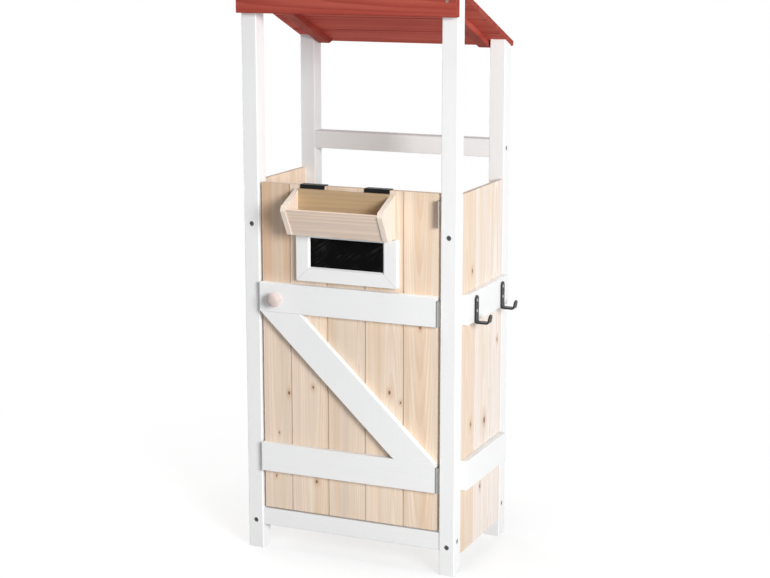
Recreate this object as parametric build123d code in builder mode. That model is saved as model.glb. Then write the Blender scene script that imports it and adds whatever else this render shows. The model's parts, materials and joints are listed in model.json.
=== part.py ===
from build123d import *
import math
import os

os.makedirs("parts", exist_ok=True)

# A play stable for hobby horses, in millimetres. The origin is on the floor, below the middle
# of the whole object's box. +X is to the right as seen from the front, and +Y to the rear.

# Overall plan
WIDTH = 536.0  # over the posts
DEPTH = 345.0  # front faces of the front posts to rear faces of the rear posts
POST_X = 38.0
POST_Y = 40.0
SIDE_RAIL = 16.0  # thickness of the rails outside the side panels
HOOK_REACH = 54.0  # from the posts' side faces out to the hooks' tips
TROUGH_REACH = 75.0  # from the posts' front faces out to the trough's nose
ROOF_RUN = 355.0  # from the posts' front faces to the roof's upper rear edge

LEFT = (SIDE_RAIL - WIDTH - HOOK_REACH) / 2
RIGHT = LEFT + WIDTH
FRONT = (TROUGH_REACH - ROOF_RUN) / 2
REAR = FRONT + DEPTH
INNER_LEFT = LEFT + POST_X
INNER_RIGHT = RIGHT - POST_X
INNER_FRONT = FRONT + POST_Y
INNER_REAR = REAR - POST_Y
MIDDLE_Y = FRONT + DEPTH / 2

# Roof
PITCH = 21.5  # degrees, falling to the rear
ROOF_REAR_Z = 1208.5  # underside of the roof at the rear faces of the rear posts
ROOF_BOARD = 12.0
ROOF_BOARDS = 4
ROOF_OVERHANG = 2.5  # past the posts at each side
ROOF_BATTEN = (28.0, 14.0)
ROOF_BATTEN_GAP = 6.0  # between a post's inner face and the batten
ROOF_BATTEN_RUN = 364.0
ROOF_BATTEN_SNUB = 0.75  # share of the thickness cut off the rear end's lower corner
POST_TOP_SCREW_INSET = 10.0
POST_TOP_SCREW_RUN = 33.0
FASCIA_Z = (1290.0, 1360.0)
FASCIA_THICK = 20.0

# Frame rails, each 2 mm back from the posts' outer faces
RAIL_SETBACK = 2.0
RAIL_THICK = 38.0
BOTTOM_RAIL_Z = (60.0, 102.0)
REAR_TOP_RAIL_Z = (945.0, 988.0)

# Side panels
PANEL_Z = (45.0, 895.0)
PANEL_BOARD = 10.0
PANEL_JOINTS = (85.0, 181.0)  # from the front post, rearwards
BATTEN_THICK = 18.0
BATTEN_HEIGHT = 42.0
BATTEN_CENTRES = (69.0, 799.5)

# White rails, on the door and outside the side panels
CROSS_RAIL_CENTRES = (236.0, 629.0)
CROSS_RAIL_HEIGHT = 70.0

PANEL_SCREW_SPREAD = 72.5  # from the panel's middle to its outer rows of screws

# Tongue-and-groove boards
BOARD_COVER = 96.0
TONGUE = 4.5
TONGUE_END_PLAY = 0.5
TONGUE_SIDE_PLAY = 0.2
JOINT_BEVEL = 2.0

# Rounded long edges
POST_ROUND = 2.0
RAIL_ROUND = 1.5
FASCIA_ROUND = 2.5
TROUGH_ROUND = 1.0

# Door
DOOR_LEFT = LEFT + 43.5
DOOR_RIGHT = LEFT + 490.7
DOOR_Z = (105.5, 898.0)
DOOR_FACE = FRONT + 5.0  # front faces of the door's boards
DOOR_BOARD = 18.0
DOOR_BACK = DOOR_FACE + DOOR_BOARD
FIRST_DOOR_BOARD = 73.0
DOOR_BOARDS = 5
DOOR_RAIL = 16.0
RAIL_FACE = DOOR_FACE - DOOR_RAIL
DOOR_RAIL_SCREW_DROP = 18.0
BRACE_TOP = (LEFT + 44.0, LEFT + 148.0)
BRACE_FOOT = (LEFT + 386.0, LEFT + 490.0)

# Hinges
HINGE_CENTRES = (231.0, 624.0, 853.0)
HINGE_LENGTH = 60.0
HINGE_X = LEFT + 494.5
HINGE_Y = FRONT - 8.0
KNUCKLES = 5
KNUCKLE_GAP = 0.3
BARREL_R = 3.2
PIN_R = 1.75
PIN_BORE_R = 1.8
LEAF = 1.5
LEAF_REAR = FRONT + 22.0
HINGE_SCREW_Y = FRONT + 17.0
HINGE_SCREW_SPACING = 19.0
DOOR_GAP = 0.3  # between moving pieces that lie against each other

# Chalkboard
CHALK_X = (LEFT + 140.0, LEFT + 393.0)
CHALK_Z = (675.0, 786.0)
CHALK_MEMBER = 34.0
CHALK_TOP_MEMBER = 8.0
CHALK_THICK = 14.0
CHALK_FACE = DOOR_FACE - CHALK_THICK
SLATE_THICK = 8.0
SLATE_REBATE = 4.0
CHALK_BEVEL = 4.0
CHALK_SIDE_SCREW_Z = 735.0
CHALK_BOTTOM_SCREW_INSET = 60.0

# Knob
KNOB = (LEFT + 88.0, 627.0)
KNOB_R = 17.0
KNOB_REACH = 28.0
KNOB_BELLY = 17.0  # from the rail's face to the knob's widest ring
KNOB_BASE_R = 12.0
KNOB_NECK_R = 9.0

# Magnetic catch behind the door's free edge, and its strike plate
CATCH = (14.0, 10.0, 52.0)
CATCH_MAGNET = (8.0, 22.0)
CATCH_SCREW_SPACING = 19.0
STRIKE = (15.0, 1.5, 40.0)
STRIKE_INSET = 1.0
STRIKE_SCREW_SPACING = 14.0

# Trough, hung on the door's top edge
STRAP = 2.0
STRAP_WIDTH = 62.0
STRAP_STARTS = (LEFT + 146.0, LEFT + 309.0)
STRAP_DROP = 43.0
STRAP_BEND = 1.8
STRAP_SCREW_Z = 866.0
TROUGH_X = (LEFT + 133.0, LEFT + 386.0)
TROUGH_Z = (788.0, 890.5)
TROUGH_END = 12.0
TROUGH_BOARD = 10.0
TROUGH_BACK = DOOR_FACE - DOOR_GAP - STRAP
TROUGH_NOSE_Z = (847.0, 858.0)
TROUGH_NOSE_SETBACK = 3.0
TROUGH_SOLE = FRONT - 41.0  # front lower corner
TROUGH_FRONT_SETBACK = 3.0  # from the end plates' front edges to the front board
TROUGH_FRONT_TOP = 852.0

# Hooks
HOOK_BAR = 3.5
HOOK_WIDTH = 20.0
HOOK_CENTRES = (MIDDLE_Y - 87.0, MIDDLE_Y + 87.0)
HOOK_Z = (591.0, 656.0)
HOOK_TIP_Z = 613.0
HOOK_LEAN = 10.0  # degrees, of the tip away from upright
HOOK_BEND_R = 4.5
HOOK_ROUND = 9.9
HOOK_SCREWS_Z = (620.0, 645.0)

# Fasteners
BOLT_R = 3.0
BOLT_HEAD = (5.5, 3.6)
BOLT_LENGTH = 70.0
BOLT_RECESS = 5.0
BOLT_HEAD_PLAY = 0.6
BOLT_PLAY = 0.3
BOLT_END_PLAY = 2.0
BOLT_SOCKET = (2.3, 2.4)
NUT_R = 5.0
NUT_LENGTH = 14.0
NUT_SETBACK = 25.0  # from a rail's or batten's end to its cross nut
NUT_PLAY = 0.1
NUT_BORE_PLAY = 0.05
NUT_SLOT = (1.2, 1.2)
SCREW_R = 1.75
SCREW_HEAD_R = 3.6
SCREW_PLAY = 0.1
SCREW_CROSS = (3.6, 0.8, 0.8)

# Screw lengths
PANEL_SCREW = 22.0
BATTEN_SCREW = 25.0
FASCIA_SCREW = 45.0
ROOF_SCREW = 22.0
POST_TOP_SCREW = 40.0
HOOK_SCREW = 18.0
HINGE_SCREW = 16.0
CATCH_SCREW = 28.0
DOOR_RAIL_SCREW = 30.0
CHALK_SCREW = 26.0
KNOB_SCREW = 50.0
STRIKE_SCREW = 14.0
STRAP_SCREW = 10.0

FROM_BASE = (Align.CENTER, Align.CENTER, Align.MIN)
TAN_PITCH = math.tan(math.radians(PITCH))
COS_PITCH = math.cos(math.radians(PITCH))
SIN_PITCH = math.sin(math.radians(PITCH))


def roof_z(y):
    """Height of the roof's underside at a given y."""
    return ROOF_REAR_Z + (REAR - y) * TAN_PITCH


def roof_plane(x):
    """A plane across the roof: its x axis runs down the slope and its y axis stands out of it."""
    return Plane(
        origin=(x, FRONT, roof_z(FRONT)),
        x_dir=(0, COS_PITCH, -SIN_PITCH),
        z_dir=(1, 0, 0),
    )


def beam(x, y, z, along, rounding):
    """A straight timber between two x, two y and two z values, its long edges rounded."""
    with BuildPart() as piece:
        with BuildSketch(Plane.XY.offset(z[0])):
            with Locations(((x[0] + x[1]) / 2, (y[0] + y[1]) / 2)):
                Rectangle(x[1] - x[0], y[1] - y[0])
        extrude(amount=z[1] - z[0])
        fillet(piece.edges().filter_by(along), rounding)
    return piece.part


def board(place, width, thick, length, grooved, tongued):
    """A board along the plane's z axis, its show face at y = 0 and its width along x."""
    middle = thick / 2
    half_tongue = thick / 6
    half_groove = half_tongue + TONGUE_SIDE_PLAY
    left_bevel = JOINT_BEVEL if grooved else JOINT_BEVEL / 2
    right_bevel = JOINT_BEVEL if tongued else JOINT_BEVEL / 2
    with BuildPart() as piece:
        with BuildSketch(place):
            with BuildLine():
                Polyline(
                    (left_bevel, 0),
                    (width - right_bevel, 0),
                    (width, right_bevel),
                    (width, thick),
                    (0, thick),
                    (0, left_bevel),
                    close=True,
                )
            make_face()
            if tongued:
                with Locations((width + TONGUE / 2, middle)):
                    Rectangle(TONGUE, 2 * half_tongue)
            if grooved:
                with Locations((TONGUE / 2, middle)):
                    Rectangle(TONGUE + 2 * TONGUE_END_PLAY, 2 * half_groove, mode=Mode.SUBTRACT)
        extrude(amount=length)
    return piece.part


def block(x, y, z):
    """A plain block between two x, two y and two z values."""
    with BuildPart() as piece:
        with BuildSketch(Plane.XY.offset(z[0])):
            with Locations(((x[0] + x[1]) / 2, (y[0] + y[1]) / 2)):
                Rectangle(x[1] - x[0], y[1] - y[0])
        extrude(amount=z[1] - z[0])
    return piece.part


def screw(place, length, play=0.0):
    """A countersunk wood screw driven along the plane's z axis, its head flush with the plane."""
    shank = SCREW_R + play
    head = SCREW_HEAD_R + play
    with BuildPart(place) as piece:
        Cone(head, shank, head - shank, align=FROM_BASE)
        with Locations((0, 0, head - shank)):
            Cylinder(shank, length + play - (head - shank), align=FROM_BASE)
        if play == 0:
            arm, width, depth = SCREW_CROSS
            Box(arm, width, depth, align=FROM_BASE, mode=Mode.SUBTRACT)
            Box(width, arm, depth, align=FROM_BASE, mode=Mode.SUBTRACT)
    return piece.part


def screw_hole(place, length):
    """The hole that a screw leaves in the wood."""
    return screw(place, length, SCREW_PLAY)


def bolt(place):
    """A barrel bolt with a hexagon socket, its flat head sunk below the plane."""
    head_r, head_height = BOLT_HEAD
    socket_r, socket_depth = BOLT_SOCKET
    head_face = place.offset(BOLT_RECESS - head_height)
    with BuildPart(head_face) as piece:
        Cylinder(head_r, head_height, align=FROM_BASE)
        with Locations((0, 0, head_height)):
            Cylinder(BOLT_R, BOLT_LENGTH, align=FROM_BASE)
        with BuildSketch(head_face):
            RegularPolygon(socket_r, 6)
        extrude(amount=socket_depth, mode=Mode.SUBTRACT)
    return piece.part


def bolt_hole(place):
    """The stepped hole for a barrel bolt."""
    with BuildPart(place) as piece:
        Cylinder(BOLT_HEAD[0] + BOLT_HEAD_PLAY, BOLT_RECESS, align=FROM_BASE)
        Cylinder(BOLT_R + BOLT_PLAY, BOLT_RECESS + BOLT_LENGTH + BOLT_END_PLAY, align=FROM_BASE)
    return piece.part


def cross_nut(place, depth):
    """A round cross nut at the bottom of its hole, with a slot to turn it by."""
    with BuildPart(place.offset(depth - NUT_LENGTH)) as piece:
        Cylinder(NUT_R, NUT_LENGTH, align=FROM_BASE)
        Box(2 * NUT_R, NUT_SLOT[0], NUT_SLOT[1], align=FROM_BASE, mode=Mode.SUBTRACT)
    return piece.part


def cross_nut_hole(place, depth):
    """The blind hole that a cross nut sits in."""
    with BuildPart(place) as piece:
        Cylinder(NUT_R + NUT_PLAY, depth, align=FROM_BASE)
    return piece.part


# Places of the fasteners. Each plane's z axis is the way its fastener goes in.
post_centres = (LEFT + POST_X / 2, RIGHT - POST_X / 2)
rail_axis = RAIL_SETBACK + RAIL_THICK / 2
rail_rows = (
    (FRONT + rail_axis, sum(BOTTOM_RAIL_Z) / 2),
    (REAR - rail_axis, sum(BOTTOM_RAIL_Z) / 2),
    (REAR - rail_axis, sum(REAR_TOP_RAIL_Z) / 2),
)
batten_nut_depth = (BATTEN_THICK + NUT_LENGTH) / 2
rail_nut_depth = (RAIL_THICK + NUT_LENGTH) / 2
bolt_places = []
nut_places = []
for x in post_centres:
    inner_face = x + BATTEN_THICK / 2 if x < 0 else x - BATTEN_THICK / 2
    into = (-1, 0, 0) if x < 0 else (1, 0, 0)
    for z in BATTEN_CENTRES:
        bolt_places.append(Plane(origin=(x, FRONT, z), z_dir=(0, 1, 0)))
        bolt_places.append(Plane(origin=(x, REAR, z), z_dir=(0, -1, 0)))
        for y in (INNER_FRONT + NUT_SETBACK, INNER_REAR - NUT_SETBACK):
            nut_places.append((Plane(origin=(inner_face, y, z), z_dir=into), batten_nut_depth))
# The rails' cross nuts go in from behind, where they aren't seen from the front
for y, z in rail_rows:
    rear_face = y + RAIL_THICK / 2
    bolt_places.append(Plane(origin=(LEFT, y, z), z_dir=(1, 0, 0)))
    bolt_places.append(Plane(origin=(RIGHT, y, z), z_dir=(-1, 0, 0)))
    for x in (INNER_LEFT + NUT_SETBACK, INNER_RIGHT - NUT_SETBACK):
        nut_places.append((Plane(origin=(x, rear_face, z), z_dir=(0, -1, 0)), rail_nut_depth))

bolt_holes = [bolt_hole(place) for place in bolt_places]
nut_holes = [cross_nut_hole(place, depth) for place, depth in nut_places]

# Screws, as (place, length)
frame_screw_places = []
door_screw_places = []


def add_screw(places, origin, direction, length):
    """Note a screw that starts at a point and goes in along a direction."""
    places.append((Plane(origin=origin, z_dir=direction), length))


to_left, to_right, to_front, to_rear = (-1, 0, 0), (1, 0, 0), (0, -1, 0), (0, 1, 0)
batten_inset = PANEL_BOARD + BATTEN_THICK
for y in (MIDDLE_Y - PANEL_SCREW_SPREAD, MIDDLE_Y, MIDDLE_Y + PANEL_SCREW_SPREAD):
    for z in CROSS_RAIL_CENTRES:
        add_screw(frame_screw_places, (LEFT + PANEL_BOARD, y, z), to_left, PANEL_SCREW)
        add_screw(frame_screw_places, (RIGHT - PANEL_BOARD, y, z), to_right, PANEL_SCREW)
    for z in BATTEN_CENTRES:
        add_screw(frame_screw_places, (LEFT + batten_inset, y, z), to_left, BATTEN_SCREW)
        add_screw(frame_screw_places, (RIGHT - batten_inset, y, z), to_right, BATTEN_SCREW)
for x in post_centres:
    start = (x, FRONT - FASCIA_THICK, sum(FASCIA_Z) / 2)
    add_screw(frame_screw_places, start, to_rear, FASCIA_SCREW)

slope_length = (ROOF_RUN - (ROOF_BOARD - JOINT_BEVEL) * SIN_PITCH) / COS_PITCH
roof_board_width = slope_length / ROOF_BOARDS
roof_batten_inset = ROOF_BATTEN_GAP + ROOF_BATTEN[0] / 2
roof_battens_x = (INNER_LEFT + roof_batten_inset, INNER_RIGHT - roof_batten_inset)
for x in roof_battens_x:
    over = roof_plane(x)
    for index in range(ROOF_BOARDS):
        down_slope = roof_board_width * (index + 0.5)
        start = over.from_local_coords((down_slope, ROOF_BOARD, 0))
        add_screw(frame_screw_places, start, -over.y_dir, ROOF_SCREW)
for x in (INNER_LEFT - POST_TOP_SCREW_INSET, INNER_RIGHT + POST_TOP_SCREW_INSET):
    over = roof_plane(x)
    for down_slope in (POST_TOP_SCREW_RUN, slope_length - POST_TOP_SCREW_RUN):
        start = over.from_local_coords((down_slope, ROOF_BOARD, 0))
        add_screw(frame_screw_places, start, -over.y_dir, POST_TOP_SCREW)
for y in HOOK_CENTRES:
    for z in HOOK_SCREWS_Z:
        start = (RIGHT + SIDE_RAIL + HOOK_BAR, y, z)
        add_screw(frame_screw_places, start, to_left, HOOK_SCREW)
for centre in HINGE_CENTRES:
    for z in (centre - HINGE_SCREW_SPACING, centre, centre + HINGE_SCREW_SPACING):
        post_side = (INNER_RIGHT - LEAF, HINGE_SCREW_Y, z)
        door_side = (DOOR_RIGHT + LEAF, HINGE_SCREW_Y, z)
        add_screw(frame_screw_places, post_side, to_right, HINGE_SCREW)
        add_screw(door_screw_places, door_side, to_left, HINGE_SCREW)

catch_x = (INNER_LEFT, INNER_LEFT + CATCH[0])
catch_front = DOOR_BACK + STRIKE[1] + DOOR_GAP
catch_y = (catch_front, catch_front + CATCH[1])
strike_x = (DOOR_LEFT + STRIKE_INSET, DOOR_LEFT + STRIKE_INSET + STRIKE[0])
for way in (-1, 1):
    start = (catch_x[1], sum(catch_y) / 2, KNOB[1] + way * CATCH_SCREW_SPACING)
    add_screw(frame_screw_places, start, to_left, CATCH_SCREW)
    start = (sum(strike_x) / 2, DOOR_BACK + STRIKE[1], KNOB[1] + way * STRIKE_SCREW_SPACING)
    add_screw(door_screw_places, start, to_front, STRIKE_SCREW)

door_joints = [DOOR_LEFT]
for index in range(DOOR_BOARDS - 1):
    door_joints.append(DOOR_LEFT + FIRST_DOOR_BOARD + index * BOARD_COVER)
door_joints.append(DOOR_RIGHT)
for left, right in zip(door_joints[:-1], door_joints[1:]):
    for centre in CROSS_RAIL_CENTRES:
        start = ((left + right) / 2, DOOR_BACK, centre - DOOR_RAIL_SCREW_DROP)
        add_screw(door_screw_places, start, to_front, DOOR_RAIL_SCREW)
brace_top_z = CROSS_RAIL_CENTRES[1] - CROSS_RAIL_HEIGHT / 2
brace_foot_z = CROSS_RAIL_CENTRES[0] + CROSS_RAIL_HEIGHT / 2
for share in (0.2, 0.5, 0.8):
    x = sum(BRACE_TOP) / 2 * (1 - share) + sum(BRACE_FOOT) / 2 * share
    z = brace_top_z * (1 - share) + brace_foot_z * share
    add_screw(door_screw_places, (x, DOOR_BACK, z), to_front, DOOR_RAIL_SCREW)
chalk_screw_spots = (
    (CHALK_X[0] + CHALK_MEMBER / 2, CHALK_SIDE_SCREW_Z),
    (CHALK_X[1] - CHALK_MEMBER / 2, CHALK_SIDE_SCREW_Z),
    (CHALK_X[0] + CHALK_BOTTOM_SCREW_INSET, CHALK_Z[0] + CHALK_MEMBER / 2),
    (CHALK_X[1] - CHALK_BOTTOM_SCREW_INSET, CHALK_Z[0] + CHALK_MEMBER / 2),
)
for x, z in chalk_screw_spots:
    add_screw(door_screw_places, (x, DOOR_BACK, z), to_front, CHALK_SCREW)
add_screw(door_screw_places, (KNOB[0], DOOR_BACK, KNOB[1]), to_front, KNOB_SCREW)

frame_screw_holes = [screw_hole(place, length) for place, length in frame_screw_places]
door_screw_holes = [screw_hole(place, length) for place, length in door_screw_places]

# Four posts, their tops cut to the roof's slope
post_plan = {
    "post_front_left": (LEFT, FRONT),
    "post_front_right": (INNER_RIGHT, FRONT),
    "post_rear_left": (LEFT, INNER_REAR),
    "post_rear_right": (INNER_RIGHT, INNER_REAR),
}
for label, (x, y) in post_plan.items():
    with BuildPart() as post:
        with BuildSketch(Plane.YZ.offset(x)):
            with BuildLine():
                Polyline(
                    (y, 0),
                    (y + POST_Y, 0),
                    (y + POST_Y, roof_z(y + POST_Y)),
                    (y, roof_z(y)),
                    close=True,
                )
            make_face()
        extrude(amount=POST_X)
        fillet(post.edges().filter_by(Axis.Z), POST_ROUND)
        add(bolt_holes, mode=Mode.SUBTRACT)
        add(frame_screw_holes, mode=Mode.SUBTRACT)
    post.part.label = label
    export_step(post.part, f"parts/{label}.step")

# Three rails between the posts
rail_plan = {
    "front_bottom_rail": (FRONT + RAIL_SETBACK, BOTTOM_RAIL_Z),
    "rear_bottom_rail": (REAR - RAIL_SETBACK - RAIL_THICK, BOTTOM_RAIL_Z),
    "rear_top_rail": (REAR - RAIL_SETBACK - RAIL_THICK, REAR_TOP_RAIL_Z),
}
for label, (y, z) in rail_plan.items():
    with BuildPart() as rail:
        add(beam((INNER_LEFT, INNER_RIGHT), (y, y + RAIL_THICK), z, Axis.X, POST_ROUND))
        add(bolt_holes, mode=Mode.SUBTRACT)
        add(nut_holes, mode=Mode.SUBTRACT)
    rail.part.label = label
    export_step(rail.part, f"parts/{label}.step")

# Side panels: three boards each, rails outside and battens inside
panel_edges = (0.0,) + PANEL_JOINTS + (INNER_REAR - INNER_FRONT,)
panel_height = PANEL_Z[1] - PANEL_Z[0]
for side in ("left", "right"):
    for index in range(3):
        start = panel_edges[index]
        end = panel_edges[index + 1]
        if side == "right":
            place = Plane(
                origin=(RIGHT, INNER_FRONT + start, PANEL_Z[0]),
                x_dir=(0, 1, 0),
                z_dir=(0, 0, 1),
            )
        else:
            place = Plane(
                origin=(LEFT, INNER_REAR - start, PANEL_Z[0]),
                x_dir=(0, -1, 0),
                z_dir=(0, 0, 1),
            )
        with BuildPart() as plank:
            add(board(place, end - start, PANEL_BOARD, panel_height, index > 0, index < 2))
            add(frame_screw_holes, mode=Mode.SUBTRACT)
        label = f"{side}_plank_{index + 1}"
        plank.part.label = label
        export_step(plank.part, f"parts/{label}.step")
    rail_x = (RIGHT, RIGHT + SIDE_RAIL) if side == "right" else (LEFT - SIDE_RAIL, LEFT)
    batten_outer = RIGHT - PANEL_BOARD if side == "right" else LEFT + PANEL_BOARD + BATTEN_THICK
    batten_x = (batten_outer - BATTEN_THICK, batten_outer)
    for index, level in enumerate(("lower", "upper")):
        rail_centre = CROSS_RAIL_CENTRES[index]
        batten_centre = BATTEN_CENTRES[index]
        rail_z = (rail_centre - CROSS_RAIL_HEIGHT / 2, rail_centre + CROSS_RAIL_HEIGHT / 2)
        with BuildPart() as outer_rail:
            add(beam(rail_x, (INNER_FRONT, INNER_REAR), rail_z, Axis.Y, RAIL_ROUND))
            add(frame_screw_holes, mode=Mode.SUBTRACT)
        outer_rail.part.label = f"{side}_{level}_rail"
        export_step(outer_rail.part, f"parts/{side}_{level}_rail.step")
        batten_z = (batten_centre - BATTEN_HEIGHT / 2, batten_centre + BATTEN_HEIGHT / 2)
        with BuildPart() as batten:
            add(beam(batten_x, (INNER_FRONT, INNER_REAR), batten_z, Axis.Y, RAIL_ROUND))
            add(bolt_holes, mode=Mode.SUBTRACT)
            add(nut_holes, mode=Mode.SUBTRACT)
            add(frame_screw_holes, mode=Mode.SUBTRACT)
        batten.part.label = f"{side}_{level}_batten"
        export_step(batten.part, f"parts/{side}_{level}_batten.step")

# Roof boards, from the fascia down to the rear, their joints showing above and below
roof_width = WIDTH + 2 * ROOF_OVERHANG
for index in range(ROOF_BOARDS):
    start = index * roof_board_width
    end = start + roof_board_width
    if index == 0:
        lower_front = [(0, 0)]
        upper_front = [(-ROOF_BOARD * TAN_PITCH, ROOF_BOARD)]
    else:
        lower_front = [(start, JOINT_BEVEL), (start + JOINT_BEVEL, 0)]
        upper_front = [(start + JOINT_BEVEL, ROOF_BOARD), (start, ROOF_BOARD - JOINT_BEVEL)]
    rear = [
        (end - JOINT_BEVEL, 0),
        (end, JOINT_BEVEL),
        (end, ROOF_BOARD - JOINT_BEVEL),
        (end - JOINT_BEVEL, ROOF_BOARD),
    ]
    with BuildPart() as roof_board:
        with BuildSketch(roof_plane(LEFT - ROOF_OVERHANG)):
            with BuildLine():
                Polyline(*lower_front, *rear, *upper_front, close=True)
            make_face()
            if index < ROOF_BOARDS - 1:
                with Locations((end + TONGUE / 2, ROOF_BOARD / 2)):
                    Rectangle(TONGUE, ROOF_BOARD / 3)
            if index > 0:
                with Locations((start + TONGUE / 2, ROOF_BOARD / 2)):
                    Rectangle(
                        TONGUE + 2 * TONGUE_END_PLAY,
                        ROOF_BOARD / 3 + 2 * TONGUE_SIDE_PLAY,
                        mode=Mode.SUBTRACT,
                    )
        extrude(amount=roof_width)
        add(frame_screw_holes, mode=Mode.SUBTRACT)
    roof_board.part.label = f"roof_board_{index + 1}"
    export_step(roof_board.part, f"parts/roof_board_{index + 1}.step")

# Roof battens, flat under the boards, their rear ends cut off at the lower corner
for side, x in zip(("left", "right"), roof_battens_x):
    width, thick = ROOF_BATTEN
    with BuildPart() as roof_batten:
        with BuildSketch(roof_plane(x - width / 2)):
            with BuildLine():
                Polyline(
                    (0, 0),
                    (thick * TAN_PITCH, -thick),
                    (ROOF_BATTEN_RUN - thick, -thick),
                    (ROOF_BATTEN_RUN, -thick * (1 - ROOF_BATTEN_SNUB)),
                    (ROOF_BATTEN_RUN, 0),
                    close=True,
                )
            make_face()
        extrude(amount=width)
        add(frame_screw_holes, mode=Mode.SUBTRACT)
    roof_batten.part.label = f"roof_batten_{side}"
    export_step(roof_batten.part, f"parts/roof_batten_{side}.step")

# Fascia across the front of the roof
fascia_x = (LEFT - ROOF_OVERHANG, RIGHT + ROOF_OVERHANG)
with BuildPart() as fascia_board:
    add(beam(fascia_x, (FRONT - FASCIA_THICK, FRONT), FASCIA_Z, Axis.X, FASCIA_ROUND))
    add(frame_screw_holes, mode=Mode.SUBTRACT)
fascia_board.part.label = "fascia_board"
export_step(fascia_board.part, "parts/fascia_board.step")

# Two hooks bent from flat bar, on the right side's upper rail
lean_sin = math.sin(math.radians(HOOK_LEAN))
lean_cos = math.cos(math.radians(HOOK_LEAN))
hook_back = RIGHT + SIDE_RAIL + HOOK_BAR / 2
hook_tip_x = RIGHT + HOOK_REACH - HOOK_BAR / 2 * lean_cos
hook_floor = HOOK_Z[0] + HOOK_BAR / 2
hook_bend_x = hook_tip_x - (HOOK_TIP_Z - hook_floor) * lean_sin / lean_cos
for label, y in zip(("hook_front", "hook_rear"), HOOK_CENTRES):
    with BuildPart() as hook:
        with BuildLine(Plane.XZ.offset(-y)) as hook_path:
            FilletPolyline(
                (hook_back, HOOK_Z[1]),
                (hook_back, hook_floor),
                (hook_bend_x, hook_floor),
                (hook_tip_x, HOOK_TIP_Z),
                radius=HOOK_BEND_R,
            )
        with BuildSketch(Plane(origin=(hook_back, y, HOOK_Z[1]), x_dir=(1, 0, 0), z_dir=(0, 0, -1))):
            Rectangle(HOOK_BAR, HOOK_WIDTH)
        sweep(path=hook_path.line)
        top_edges = hook.edges().filter_by(Axis.X).group_by(Axis.Z)[-1]
        fillet(top_edges, HOOK_ROUND)
        tip_axis = Axis((hook_tip_x, y, HOOK_TIP_Z), (lean_sin, 0, lean_cos))
        across_tip = Axis((0, 0, 0), (lean_cos, 0, -lean_sin))
        tip_edges = hook.edges().filter_by(across_tip).sort_by(tip_axis)[-2:]
        fillet(tip_edges, HOOK_ROUND)
        add(frame_screw_holes, mode=Mode.SUBTRACT)
    hook.part.label = label
    export_step(hook.part, f"parts/{label}.step")


def hinge_half(outer_face, inward, own_knuckles):
    """The leaves of all three hinges on one side, with their share of the knuckles."""
    knuckle = HINGE_LENGTH / KNUCKLES
    leaf_x = sorted((outer_face, outer_face + inward * LEAF))
    with BuildPart() as half:
        for centre in HINGE_CENTRES:
            foot = centre - HINGE_LENGTH / 2
            add(block(leaf_x, (HINGE_Y, LEAF_REAR), (foot, foot + HINGE_LENGTH)))
            for index in range(KNUCKLES):
                if index not in own_knuckles:
                    base = Plane(origin=(HINGE_X, HINGE_Y, foot + index * knuckle - KNUCKLE_GAP / 2))
                    with Locations(base):
                        Cylinder(
                            BARREL_R + DOOR_GAP,
                            knuckle + KNUCKLE_GAP,
                            align=FROM_BASE,
                            mode=Mode.SUBTRACT,
                        )
            for index in own_knuckles:
                base = Plane(origin=(HINGE_X, HINGE_Y, foot + index * knuckle + KNUCKLE_GAP / 2))
                with Locations(base):
                    Cylinder(BARREL_R, knuckle - KNUCKLE_GAP, align=FROM_BASE)
            with Locations((HINGE_X, HINGE_Y, centre)):
                Cylinder(PIN_BORE_R, HINGE_LENGTH + 1, mode=Mode.SUBTRACT)
    return half.part


with BuildPart() as frame_hinge_leaves:
    add(hinge_half(INNER_RIGHT, -1, (0, 2, 4)))
    add(frame_screw_holes, mode=Mode.SUBTRACT)
frame_hinge_leaves.part.label = "frame_hinge_leaves"
export_step(frame_hinge_leaves.part, "parts/frame_hinge_leaves.step")

with BuildPart() as door_hinge_leaves:
    add(hinge_half(DOOR_RIGHT, 1, (1, 3)))
    add(door_screw_holes, mode=Mode.SUBTRACT)
door_hinge_leaves.part.label = "door_hinge_leaves"
export_step(door_hinge_leaves.part, "parts/door_hinge_leaves.step")

with BuildPart() as hinge_pins:
    for centre in HINGE_CENTRES:
        with Locations((HINGE_X, HINGE_Y, centre)):
            Cylinder(PIN_R, HINGE_LENGTH)
        with Locations((HINGE_X, HINGE_Y, centre + HINGE_LENGTH / 2)):
            Cylinder(PIN_R + 0.9, 1.2, align=FROM_BASE)
hinge_pins.part.label = "hinge_pins"
export_step(hinge_pins.part, "parts/hinge_pins.step")

# Magnetic catch on the left post, behind the door's free edge
with BuildPart() as magnet_catch:
    catch_z = (KNOB[1] - CATCH[2] / 2, KNOB[1] + CATCH[2] / 2)
    add(beam(catch_x, catch_y, catch_z, Axis.X, RAIL_ROUND))
    with BuildSketch(Plane.XZ.offset(-catch_front)):
        with Locations((sum(catch_x) / 2, KNOB[1])):
            Rectangle(*CATCH_MAGNET)
    extrude(amount=-DOOR_GAP, mode=Mode.SUBTRACT)
    add(frame_screw_holes, mode=Mode.SUBTRACT)
magnet_catch.part.label = "magnet_catch"
export_step(magnet_catch.part, "parts/magnet_catch.step")

with BuildPart() as frame_bolts:
    add([bolt(place) for place in bolt_places])
frame_bolts.part.label = "frame_bolts"
export_step(frame_bolts.part, "parts/frame_bolts.step")

with BuildPart() as cross_nuts:
    for place, depth in nut_places:
        add(cross_nut(place, depth))
    for place in bolt_places:
        with Locations(place):
            Cylinder(
                BOLT_R + NUT_BORE_PLAY,
                BOLT_RECESS + BOLT_LENGTH + BOLT_END_PLAY,
                align=FROM_BASE,
                mode=Mode.SUBTRACT,
            )
cross_nuts.part.label = "cross_nuts"
export_step(cross_nuts.part, "parts/cross_nuts.step")

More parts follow.
